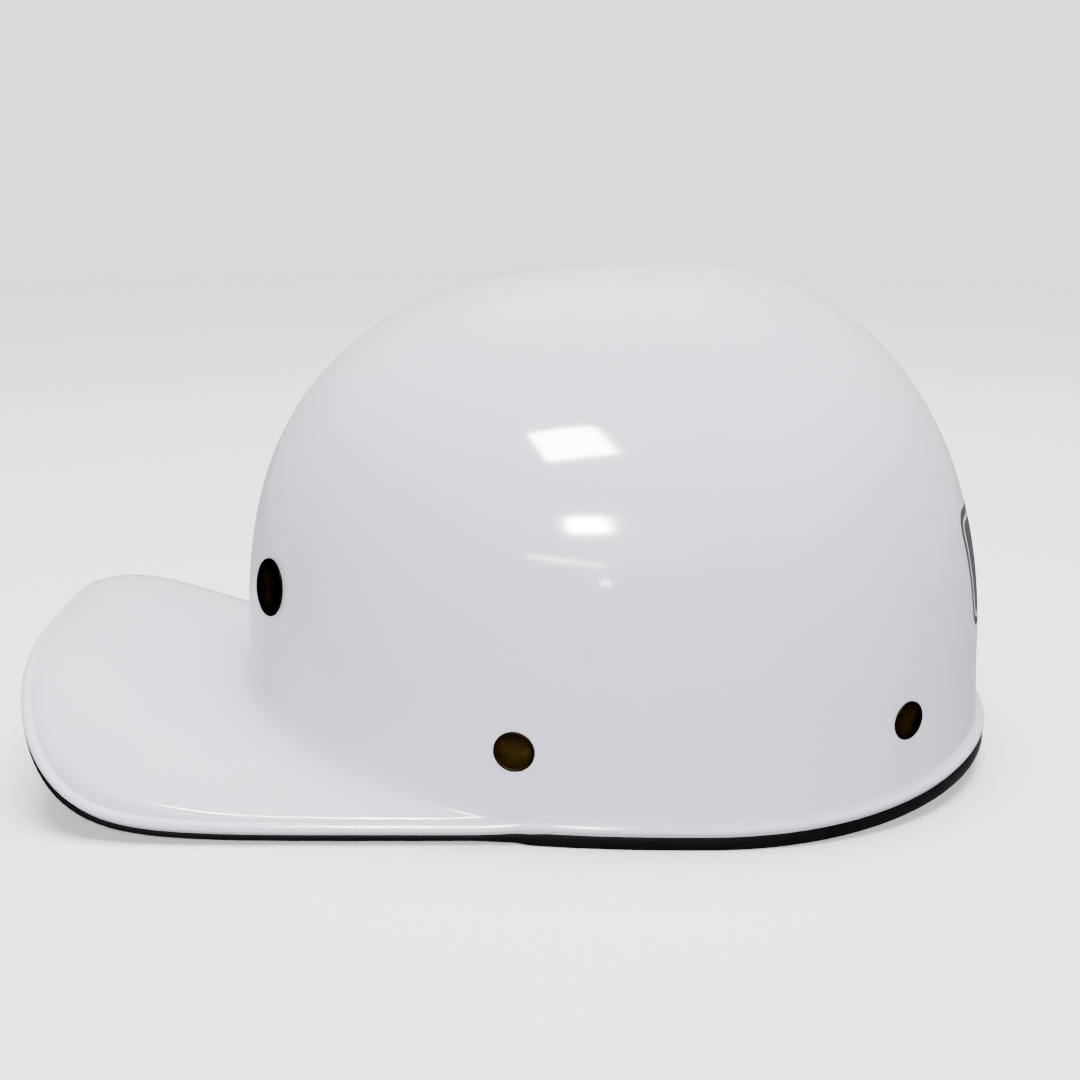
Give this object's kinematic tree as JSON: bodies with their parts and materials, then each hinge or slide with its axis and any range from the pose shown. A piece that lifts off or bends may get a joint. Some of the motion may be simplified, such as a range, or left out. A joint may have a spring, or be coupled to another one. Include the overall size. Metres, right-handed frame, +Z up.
{
  "type": "hard hat",
  "caption": "Baseball-cap style hard hat: glossy moulded shell with an arched brim, riveted webbing suspension, ratchet nape band and chin strap.",
  "frame": {"origin": "middle of the hat's length and width, on the plane it stands on", "axes": "+X to the wearer's left, +Y to the wearer's back (the brim points along -Y), +Z up"},
  "size_m": [0.2142, 0.3386, 0.172],
  "materials": {
    "shell": "high-gloss cool white",
    "trim": "satin black extrusion",
    "cap_brass": "antique, brushed",
    "steel": "zinc plated",
    "plastic": "fine-grained moulding",
    "webbing": "woven polyester",
    "foam": "knit-covered foam"
  },
  "bodies": {
    "hat": {"shell": "shell", "edge_trim": "trim", "rivet_front_left": "cap_brass", "rivet_front_right": "cap_brass", "washer_front_left": "steel", "washer_front_right": "steel", "hanger_front_left": "plastic", "hanger_front_right": "plastic", "rivet_side_left": "cap_brass", "rivet_side_right": "cap_brass", "washer_side_left": "steel", "washer_side_right": "steel", "hanger_side_left": "plastic", "hanger_side_right": "plastic", "rivet_rear_left": "cap_brass", "rivet_rear_right": "cap_brass", "washer_rear_left": "steel", "washer_rear_right": "steel", "hanger_rear_left": "plastic", "hanger_rear_right": "plastic", "crown_strap_side": "webbing", "crown_strap_left": "webbing", "crown_strap_right": "webbing", "crown_pad": "foam", "headband": "plastic", "sweatband": "foam", "pivot_pin_left": "plastic", "pivot_pin_right": "plastic", "chin_stud_left": "cap_brass", "chin_stud_right": "cap_brass"},
    "nape_band": {"nape_arm_left": "plastic", "nape_arm_right": "plastic"},
    "ratchet": {"ratchet_housing": "plastic", "ratchet_cover": "plastic", "click_spring": "steel", "nape_pad": "foam"},
    "knob": {"ratchet_knob": "plastic", "pinion": "plastic"},
    "chin_strap": {"chin_link_left": "plastic", "chin_link_right": "plastic", "chin_strap_short": "webbing", "chin_strap_long": "webbing", "buckle_socket": "plastic"},
    "buckle_plug": {"buckle_plug": "plastic"}
  },
  "joints": [
    {"name": "nape_swing", "type": "hinge", "parent": "hat", "child": "nape_band", "pos_m": [0, 0.0466, 0.037], "axis": [1, 0, 0], "range_deg": [-20, 20]},
    {"name": "ratchet_slide", "type": "slide", "parent": "nape_band", "child": "ratchet", "axis": [0, -1, 0], "range_m": [0, 0.015], "deforming": ["nape_arm_left", "nape_arm_right"]},
    {"name": "knob_turn", "type": "hinge", "parent": "ratchet", "child": "knob", "pos_m": [0, 0.1459, 0.037], "axis": [0, -1, 0], "range_deg": [0, 215]},
    {"name": "chin_swing", "type": "hinge", "parent": "hat", "child": "chin_strap", "pos_m": [0, -0.0001, 0.012], "axis": [-1, 0, 0], "range_deg": [0, 135]},
    {"name": "plug_slide", "type": "slide", "parent": "chin_strap", "child": "buckle_plug", "axis": [0, 1, 0], "range_m": [0, 0.015], "deforming": ["chin_strap_long"]}
  ],
  "couplings": [
    {"joint": "knob_turn", "follows": "ratchet_slide", "rad_per_m": 250}
  ]
}
